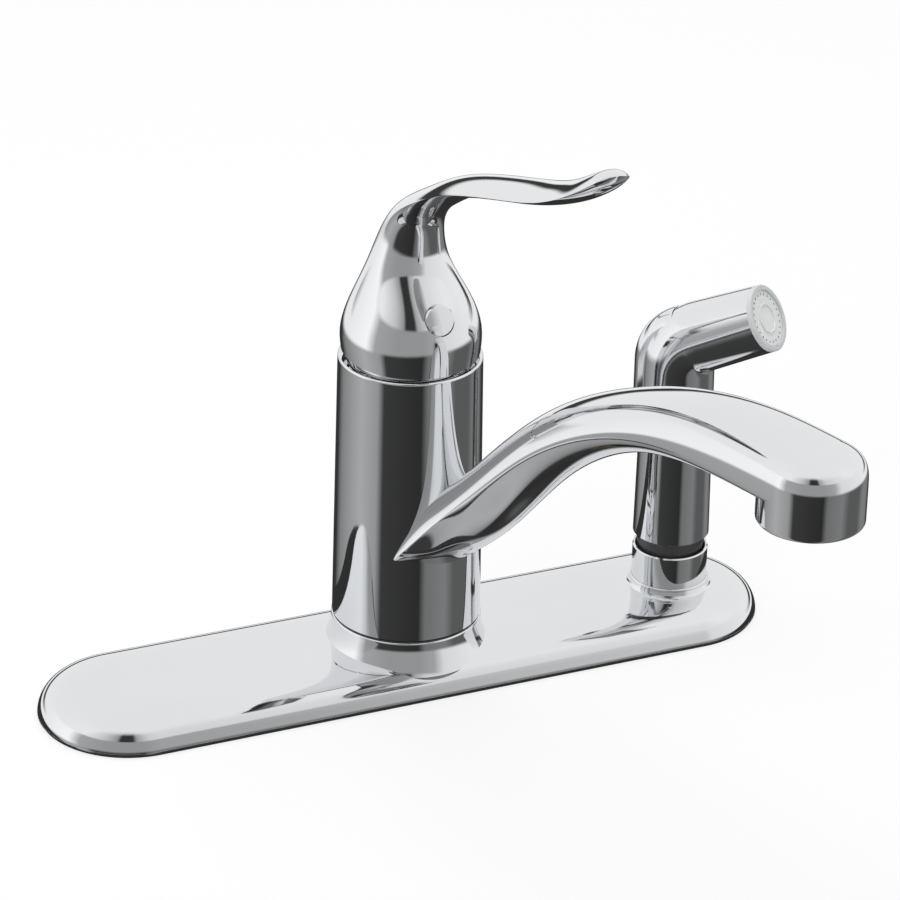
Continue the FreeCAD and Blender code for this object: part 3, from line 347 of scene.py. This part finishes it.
sleeveSizes = {"bore": 21.66, "low": 20.65, "lowRadius": 25.65, "top": 117.5, "topRadius": 24.57,
               "rim": 0.7, "lipLow": 110.9, "lipTop": 113.4, "lipRadius": 20.4, "counterbore": 22.3,
               "foot": 0.4, "wallRings": (0.0, 0.01, 0.5, 0.99), "rimSteps": 6, "segments": 160}
armSizes = {
    "rings": 72,
    "segments": 96,
    "rootBore": 22.6,
    "rootTop": 116.0,
    "waterwayLow": 100.0,
    "clear": 0.1,
    "clearTop": 0.2,
    # reach, height of the side edges, half width, top, bottom, fullness over and under, crispness
    "stations": [
        (13.0, 49.0, 19.5, 62.0, 44.0, 1.95, 1.95, 1.30),
        (18.0, 54.0, 19.6, 70.0, 45.0, 1.95, 1.95, 1.30),
        (30.0, 68.0, 16.8, 83.5, 52.5, 1.95, 1.95, 1.32),
        (50.0, 88.5, 15.0, 104.2, 70.0, 1.95, 1.95, 1.38),
        (75.0, 112.0, 14.8, 126.4, 98.0, 2.0, 2.0, 1.50),
        (100.0, 128.8, 15.2, 141.2, 118.0, 2.0, 2.0, 1.70),
        (130.0, 140.3, 16.0, 152.1, 131.6, 2.3, 2.0, 2.1),
        (160.0, 143.6, 16.8, 156.1, 137.0, 2.9, 2.0, 2.8),
        (189.0, 143.2, 17.05, 155.0, 138.0, 3.6, 2.0, 3.6),
    ],
}
outletSizes = {"reach": 189.0, "radius": 17.05, "low": 131.0, "round": 1.2, "side": 143.2, "top": 155.0,
               "fullness": 3.6, "bore": 11.2, "boreTop": 143.0, "wallRing": 0.5, "crownSteps": 24,
               "footSteps": 6}


def makeSleeve():
    s = sleeveSizes
    rim = softArc((s["topRadius"] - s["rim"], s["top"] - s["rim"]), s["rim"], 0.0, 90.0, s["rimSteps"])
    wall = []
    for share in s["wallRings"]:    # the rings beside the ends keep the shading of the wall upright
        wall.append((s["lowRadius"] + (s["topRadius"] - s["lowRadius"]) * share,
                     s["low"] + s["foot"] + (s["top"] - s["rim"] - s["low"] - s["foot"]) * share))
    inside = [(s["counterbore"], s["top"]), (s["counterbore"], s["lipTop"]), (s["lipRadius"], s["lipTop"]),
              (s["lipRadius"], s["lipLow"]), (s["bore"], s["lipLow"])]
    bm = turned([(s["bore"], s["low"]), (s["lowRadius"] - s["foot"], s["low"])] + wall + rim + inside,
                steps=s["segments"])
    asPiece(bm, "spoutSleeve", "spout_arm", "spout_chrome", ["spout"], turn=spoutTurn)


def makeArm():
    s, o = armSizes, outletSizes
    bm = bmesh.new()
    rings = []
    for row in throughStations(s["stations"], s["rings"]):
        reach, side, halfWidth, top, bottom, fullOver, fullUnder, crisp = row
        rings.append(archRing(bm, Vector((0, -reach, side)), Vector((0, 0, 1)), halfWidth, top - side,
                              side - bottom, fullOver, fullUnder, crisp, s["segments"]))
    bridged(bm, rings)
    arm = asPiece(bm, "spoutArm", "spout_arm", "spout_chrome", turn=spoutTurn)
    cutAway(arm, rodCutter(s["rootBore"], 0.0, s["rootTop"]),
            rodCutter(o["bore"] + s["clear"], s["waterwayLow"], o["boreTop"] + s["clearTop"],
                      0.0, -o["reach"], spoutTurn))


def makeOutlet():
    o = outletSizes
    crown = []
    for i in range(o["crownSteps"] + 1):
        angle = radians(90.0 - 90.0 * i / o["crownSteps"])
        crown.append((o["radius"] * cos(angle) ** (2 / o["fullness"]),
                      o["side"] + (o["top"] - o["side"]) * sin(angle) ** (2 / o["fullness"])))
    bend = (o["radius"] - o["round"], o["low"] + o["round"])
    foot = softArc(bend, o["round"], 0.0, -90.0, o["footSteps"])
    foot.insert(0, (o["radius"], bend[1] + o["wallRing"]))    # keeps the shading of the wall upright
    bm = turned(crown + foot + [(o["bore"], o["low"]), (o["bore"], o["boreTop"]), (0.0, o["boreTop"])],
                closed=False)
    bmesh.ops.translate(bm, vec=(0, -o["reach"] * mm, 0), verts=bm.verts)
    asPiece(bm, "spoutOutlet", "spout_arm", "spout_chrome", turn=spoutTurn)


makeSleeve()
makeArm()
makeOutlet()
print("spout made")


# Handle: a bell that narrows to a neck and sweeps forward into a horn

handleSizes = {
    "rings": 96,
    "segments": 96,
    "mouth": 21.4,
    "cavityTop": 128.5,
    "cavityRound": 16.5,
    # forward, height, lean back in degrees, half width, over, under, fullness over and under, crispness
    "stations": [
        (0.0, 120.0, 3.4, 23.6, 23.6, 23.6, 2.0, 2.0, 2.0),
        (0.0, 126.0, 1.0, 23.9, 23.9, 23.9, 2.0, 2.0, 2.0),
        (-0.3, 138.0, 0.0, 20.3, 20.6, 20.4, 2.0, 2.0, 2.0),
        (-2.0, 150.0, 0.0, 14.5, 14.0, 12.6, 2.0, 2.0, 2.0),
        (-0.8, 160.0, 8.0, 11.6, 10.4, 9.6, 2.0, 2.0, 1.95),
        (3.0, 169.0, 28.0, 10.4, 7.2, 7.4, 2.0, 2.0, 1.6),
        (10.0, 175.8, 47.0, 10.3, 5.2, 4.8, 2.0, 2.0, 1.35),
        (19.5, 181.8, 60.0, 10.8, 4.8, 3.5, 2.0, 2.0, 1.2),
        (32.0, 188.6, 64.0, 11.0, 5.0, 2.6, 2.0, 2.0, 1.12),
        (55.0, 197.9, 71.0, 11.0, 4.9, 2.2, 2.0, 2.0, 1.12),
        (80.0, 205.9, 72.0, 11.0, 4.9, 2.2, 2.0, 2.0, 1.12),
        (98.4, 212.3, 68.0, 11.0, 5.0, 2.2, 2.0, 2.0, 1.12),
        (111.7, 218.8, 59.0, 9.6, 4.9, 2.2, 2.0, 2.0, 1.12),
        (121.0, 224.9, 53.0, 7.6, 4.3, 2.0, 2.0, 2.0, 1.45),
        (128.3, 230.5, 52.0, 5.4, 3.0, 1.6, 2.0, 2.0, 1.6),
    ],
    "tipLength": 5.0,
    "tipShare": 0.12,
}
buttonSizes = {"radius": 5.25, "gap": 0.12, "depth": 2.4, "dome": 0.5, "front": 21.0, "height": 138.1,
               "tilt": 20.0, "edge": 0.25, "lookFrom": 30.0, "under": 0.1, "cutTop": 12.0, "domeSteps": 12}


def leaning(lean):
    # the direction across a ring that leans back by so many degrees
    return Vector((0, cos(radians(lean)), sin(radians(lean))))


def makeHandle():
    s = handleSizes
    bm = bmesh.new()
    rows = throughStations(s["stations"], s["rings"])
    tip = rows[-1][:2]
    rings = []
    for row in rows:
        forward, height, lean, halfWidth, over, under, fullOver, fullUnder, crisp = row
        left = float(np.hypot(*(tip - row[:2])))
        shrink = 1.0
        if left < s["tipLength"]:    # the horn rounds off at its tip
            shrink = max(1.0 - (1.0 - left / s["tipLength"]) ** 2, 0.0) ** 0.5
            shrink = max(shrink, s["tipShare"])
        rings.append(archRing(bm, Vector((0, -forward, height)), leaning(lean), halfWidth * shrink,
                              over * shrink, under * shrink, fullOver, fullUnder, crisp, s["segments"]))
    bottom, tilt = s["stations"][0][1:3]
    for radius, height, lean in ((s["mouth"], bottom, tilt), (s["cavityRound"], s["cavityTop"], 0.0)):
        rings.insert(0, archRing(bm, Vector((0, 0, height)), leaning(lean), radius, radius, radius,
                                 2, 2, 2, s["segments"]))
    bridged(bm, rings)
    return asPiece(bm, "leverHandle", "lever", "handle_chrome", ["handle"], turn=handleTurn)


def makeButton(handle):
    s = buttonSizes
    tilt = radians(s["tilt"])
    out = Vector((0, -cos(tilt), sin(tilt)))
    middle = Vector((0, -s["front"], s["height"])) * mm
    toFront = Matrix.Rotation(radians(90.0 - s["tilt"]), 4, "X")
    handle.data.update()
    bpy.context.view_layer.update()
    lookAt = handleTurn.to_3x3()
    start = middle + out * (s["lookFrom"] * mm)
    place = handle.ray_cast(lookAt @ start, lookAt @ -out)[1]    # where the bell's wall lies
    lift = Matrix.Translation(handleTurn.inverted() @ place) @ toFront
    domeRadius = (s["radius"] ** 2 + s["dome"] ** 2) / (2 * s["dome"])
    dome = []
    for i in range(s["domeSteps"] + 1):
        radius = (s["radius"] - s["edge"]) * i / s["domeSteps"]
        dome.append((radius, (domeRadius ** 2 - radius ** 2) ** 0.5 - domeRadius + s["dome"]))
    side = [(s["radius"], -s["edge"]), (s["radius"], -s["depth"]), (0.0, -s["depth"])]
    bm = turned(dome + side, closed=False)
    bmesh.ops.transform(bm, matrix=lift, verts=bm.verts)
    asPiece(bm, "handleButton", "lever", "button_chrome", ["plug_button"], turn=handleTurn)
    cutter = rodCutter(s["radius"] + s["gap"], -s["depth"] - s["under"], s["cutTop"], tilt=lift)
    cutter.data.transform(handleTurn)
    cutAway(handle, cutter)


makeButton(makeHandle())
print("handle made")


# Everything else keeps its drawn form: a merged, smoothed copy where it shows, the node itself inside

def smoothCopy(node, name, body, slot):
    bm = bmesh.new()
    bm.from_mesh(frame["nodes"][node].data)
    asPiece(bm, name, body, slot, [node], sharp=shopSizes["copyCrease"], closed=False)


bodyOf = {node: body for body, nodes in frame["record"]["behaviour"]["bodies"].items() for node in nodes}
nodeSlot = {part["node"]: part["material_slot"] for part in frame["record"]["subparts"]}
drawnNodes = ("escutcheon", "spout", "handle", "plug_button")    # made above
shownNodes = {
    "backing_plate": "backingPlate", "deck_gasket": "deckGasket", "valve_body": "valveBody",
    "lower_glide_ring": "glideRing", "bonnet_nut": "bonnetNut", "lever_turret": "leverTurret",
    "shank_rubber_washer": "shankRubberWasher", "shank_steel_washer": "shankSteelWasher",
    "shank_nut": "shankNut", "holder_washer": "holderWasher", "holder_nut": "holderNut",
    "spray_holder": "sprayHolder", "holder_bushing": "holderBushing", "hose_coupling": "hoseCoupling",
    "spray_shell": "sprayShell", "spray_core": "sprayCore", "spray_face": "sprayFace",
    "face_ring": "faceRing", "spray_trigger": "sprayTrigger", "trigger_pin": "triggerPin",
    "aerator_housing": "aeratorHousing", "aerator_insert": "aeratorInsert",
    "aerator_screen": "aeratorScreen", "lever_stem": "leverStem",
}
for node, slot in nodeSlot.items():
    if node in shownNodes:
        smoothCopy(node, shownNodes[node], bodyOf[node], slot)
    elif node not in drawnNodes:
        kept = frame["nodes"][node]
        kept.data.materials.clear()
        kept.data.materials.append(finishes[slotFinish[slot]])
print("carried nodes dressed")


# Studio, in metres: pale floor, soft lamps, and a cloth tent that only polished metal sees

studioSizes = {
    "ambient": 0.55,
    "floor": 4.0, "floorColor": 0.80, "floorRough": 0.9, "floorShine": 0.1, "floorGlow": 0.82,
    "tentRadius": 12.0, "tentTurn": 114.26, "tentFineness": 4, "roofTone": 0.95,
    "skirtRadius": 0.048, "skirtShift": (0.008, 0.014), "skirtHeight": 0.0004, "skirtTone": 0.035,
    "skirtSides": 64,
}
tentBands = {
    # brightness by bearing from the camera, in degrees, left of it below nought
    "low": [(-180, 0.03), (-146, 0.04), (-128, 0.26), (-80, 0.48), (-50, 0.36), (-40, 0.05), (20, 0.03),
            (30, 0.19), (62, 0.24), (78, 0.12), (106, 0.12), (122, 0.25), (140, 0.22), (152, 0.04),
            (180, 0.03)],
    "middle": [(-180, 0.95), (-120, 1.0), (-74, 1.15), (-58, 0.44), (-20, 0.36), (20, 0.36),
               (42, 0.44), (56, 0.85), (120, 1.0), (180, 0.95)],
    "horizon": [(-180, 0.04), (-142, 0.05), (-118, 1.0), (-74, 1.15), (-58, 0.44), (-20, 0.36), (20, 0.36),
                (42, 0.44), (56, 0.85), (118, 1.0), (142, 0.05), (180, 0.04)],
    "high": [(-180, 0.95), (-60, 1.0), (-30, 0.65), (-14, 0.36), (-9, 0.04), (8, 0.04), (13, 0.42),
             (30, 0.75), (90, 1.0), (180, 0.95)],
}
tentRises = [    # from, to, and the band above
    (-0.31, -0.20, "middle"), (-0.07, -0.03, "horizon"), (0.05, 0.11, "middle"), (0.42, 0.52, "high"),
    (0.80, 0.98, None),
]


def seenRays(nodes, links):
    # 1 for rays from the camera, off metal and through glass, which see the plain background
    path = nodes.new("ShaderNodeLightPath")
    total = None
    for ray in ("Is Camera Ray", "Is Glossy Ray", "Is Transmission Ray"):
        if total is None:
            total = path.outputs[ray]
            continue
        add = nodes.new("ShaderNodeMath")
        add.operation = "MAXIMUM"
        links.new(total, add.inputs[0])
        links.new(path.outputs[ray], add.inputs[1])
        total = add.outputs[0]
    return total


def makeWorld():
    world = bpy.data.worlds.new("studio")
    world.use_nodes = True
    scene.world = world
    nodes, links = world.node_tree.nodes, world.node_tree.links
    plain = nodes["Background"]
    plain.inputs["Color"].default_value = (1.0, 1.0, 1.0, 1.0)
    plain.inputs["Strength"].default_value = studioSizes["ambient"]
    white = nodes.new("ShaderNodeBackground")
    white.inputs["Color"].default_value = (1.0, 1.0, 1.0, 1.0)
    white.inputs["Strength"].default_value = 1.0
    mix = nodes.new("ShaderNodeMixShader")
    links.new(seenRays(nodes, links), mix.inputs[0])
    links.new(plain.outputs[0], mix.inputs[1])
    links.new(white.outputs[0], mix.inputs[2])
    links.new(mix.outputs[0], nodes["World Output"].inputs["Surface"])


def stageSheet(name, bm, material):
    mesh = bpy.data.meshes.new(name)
    bm.to_mesh(mesh)
    bm.free()
    mesh.materials.append(material)
    sheet = bpy.data.objects.new(name, mesh)
    scene.collection.objects.link(sheet)
    return sheet


def makeFloor():
    paper = bpy.data.materials.new("floorPaper")
    paper.use_nodes = True
    nodes, links = paper.node_tree.nodes, paper.node_tree.links
    shader = nodes["Principled BSDF"]
    tone = studioSizes["floorColor"]
    shader.inputs["Base Color"].default_value = (tone, tone, tone, 1.0)
    shader.inputs["Roughness"].default_value = studioSizes["floorRough"]
    shader.inputs["Specular IOR Level"].default_value = studioSizes["floorShine"]
    glow = nodes.new("ShaderNodeEmission")
    glow.inputs["Color"].default_value = (1.0, 1.0, 1.0, 1.0)
    mix = nodes.new("ShaderNodeMixShader")
    share = nodes.new("ShaderNodeMath")
    share.operation = "MULTIPLY"
    share.inputs[1].default_value = studioSizes["floorGlow"]
    links.new(seenRays(nodes, links), share.inputs[0])
    links.new(share.outputs[0], mix.inputs[0])
    links.new(shader.outputs[0], mix.inputs[1])
    links.new(glow.outputs[0], mix.inputs[2])
    links.new(mix.outputs[0], nodes["Material Output"].inputs["Surface"])
    bm = bmesh.new()
    bmesh.ops.create_grid(bm, x_segments=1, y_segments=1, size=studioSizes["floor"])
    floor = stageSheet("floor", bm, paper)
    floor.visible_glossy = False    # polished metal sees the tent instead


def bearingRamp(nodes, links, bearing, stops):
    ramp = nodes.new("ShaderNodeValToRGB")
    links.new(bearing, ramp.inputs["Fac"])
    points = ramp.color_ramp.elements
    while len(points) < len(stops):
        points.new(0.5)
    for point, (angle, tone) in zip(points, stops):
        point.position = 0.5 + angle / 360.0
        point.color = (tone, tone, tone, 1.0)
    return ramp.outputs["Color"]


def blended(nodes, links, height, span, lower, upper):
    step = nodes.new("ShaderNodeMapRange")
    step.interpolation_type = "SMOOTHSTEP"
    step.inputs["From Min"].default_value, step.inputs["From Max"].default_value = span
    links.new(height, step.inputs["Value"])
    mix = nodes.new("ShaderNodeMix")
    mix.data_type = "RGBA"
    links.new(step.outputs["Result"], mix.inputs["Factor"])
    links.new(lower, mix.inputs["A"])
    if upper:
        links.new(upper, mix.inputs["B"])
    else:
        tone = studioSizes["roofTone"]
        mix.inputs["B"].default_value = (tone, tone, tone, 1.0)
    return mix.outputs["Result"]


def seenByMetal(sheet):
    sheet.visible_camera = False
    sheet.visible_diffuse = False
    sheet.visible_transmission = False
    sheet.visible_shadow = False


def makeSkirt():
    # a dark sheet round the deck plate, seen by polished metal alone: painted shade in the reflections along
    # the plate's edges, where the camera sees pale floor
    shadeCard = bpy.data.materials.new("paintedEdgeShade")
    shadeCard.use_nodes = True
    nodes, links = shadeCard.node_tree.nodes, shadeCard.node_tree.links
    # painted shade: the sheet glows this dark tone so the plate's edges reflect it
    tone = studioSizes["skirtTone"]
    glow = nodes.new("ShaderNodeEmission")
    glow.inputs["Color"].default_value = (tone, tone, tone, 1.0)
    links.new(glow.outputs[0], nodes["Material Output"].inputs["Surface"])
    bm = bmesh.new()
    bmesh.ops.create_circle(bm, cap_ends=True, segments=studioSizes["skirtSides"],
                            radius=studioSizes["skirtRadius"])
    for vert in bm.verts:
        vert.co.x += plateSizes["spacing"] * mm * (1 if vert.co.x > 0 else -1)
    bmesh.ops.translate(bm, vec=(*studioSizes["skirtShift"], studioSizes["skirtHeight"]), verts=bm.verts)
    seenByMetal(stageSheet("paintedShadeSkirt", bm, shadeCard))


def makeTent():
    # dark and pale cloths around the set, seen by polished metal alone
    cloth = bpy.data.materials.new("tentCloth")
    cloth.use_nodes = True
    nodes, links = cloth.node_tree.nodes, cloth.node_tree.links
    place = nodes.new("ShaderNodeTexCoord")
    turn = nodes.new("ShaderNodeMapping")
    turn.inputs["Rotation"].default_value = (0.0, 0.0, radians(studioSizes["tentTurn"]))
    links.new(place.outputs["Object"], turn.inputs["Vector"])
    around = nodes.new("ShaderNodeTexGradient")
    around.gradient_type = "RADIAL"
    links.new(turn.outputs["Vector"], around.inputs["Vector"])
    unit = nodes.new("ShaderNodeVectorMath")
    unit.operation = "NORMALIZE"
    links.new(place.outputs["Object"], unit.inputs[0])
    parts = nodes.new("ShaderNodeSeparateXYZ")
    links.new(unit.outputs["Vector"], parts.inputs["Vector"])
    bands = {name: bearingRamp(nodes, links, around.outputs["Fac"], stops)
             for name, stops in tentBands.items()}
    tone = bands["low"]
    for low, high, above in tentRises:
        tone = blended(nodes, links, parts.outputs["Z"], (low, high), tone, bands.get(above))
    glow = nodes.new("ShaderNodeEmission")
    links.new(tone, glow.inputs["Color"])
    links.new(glow.outputs[0], nodes["Material Output"].inputs["Surface"])
    bm = bmesh.new()
    bmesh.ops.create_icosphere(bm, subdivisions=studioSizes["tentFineness"], radius=studioSizes["tentRadius"])
    seenByMetal(stageSheet("reflectionTent", bm, cloth))


lampLooks = {
    "overheadSoftbox": {"place": (0.1, 0.3, 1.5), "aim": (0.0, 0.0, 0.05), "size": (1.4, 0.9), "power": 16.0},
    "leftSoftbox": {"place": (-1.2, -0.9, 0.9), "aim": (0.0, 0.0, 0.1), "size": (0.7, 0.9), "power": 9.0},
}


def makeLamps():
    for name, look in lampLooks.items():
        lamp = bpy.data.lights.new(name, "AREA")
        lamp.shape = "RECTANGLE"
        lamp.size, lamp.size_y = look["size"]
        lamp.energy = look["power"]
        stand = bpy.data.objects.new(name, lamp)
        stand.visible_glossy = False
        scene.collection.objects.link(stand)
        place = Vector(look["place"])
        stand.location = place
        stand.rotation_mode = "QUATERNION"
        stand.rotation_quaternion = (Vector(look["aim"]) - place).to_track_quat("-Z", "Y")


cameraLooks = {"lens": 175.69, "sensor": 36.0, "clip": (0.1, 20.0), "place": (-0.53679, -1.22524, 0.74459),
               "right": (0.9155, -0.4017, 0.02), "rise": (0.1621, 0.414, 0.8957)}


def makeCamera():
    lens = bpy.data.cameras.new("camera")
    lens.lens = cameraLooks["lens"]
    lens.sensor_width = cameraLooks["sensor"]
    lens.clip_start, lens.clip_end = cameraLooks["clip"]
    camera = bpy.data.objects.new("camera", lens)
    scene.collection.objects.link(camera)
    right, rise = Vector(cameraLooks["right"]), Vector(cameraLooks["rise"])
    away = right.cross(rise).normalized()
    rise = away.cross(right).normalized()
    right.normalize()
    turn = Matrix((right, rise, away)).transposed().to_4x4()
    camera.matrix_world = Matrix.Translation(cameraLooks["place"]) @ turn
    scene.camera = camera


makeWorld()
makeFloor()
makeTent()
makeSkirt()
makeLamps()
makeCamera()
scene.view_settings.view_transform = "Standard"
print("studio made")
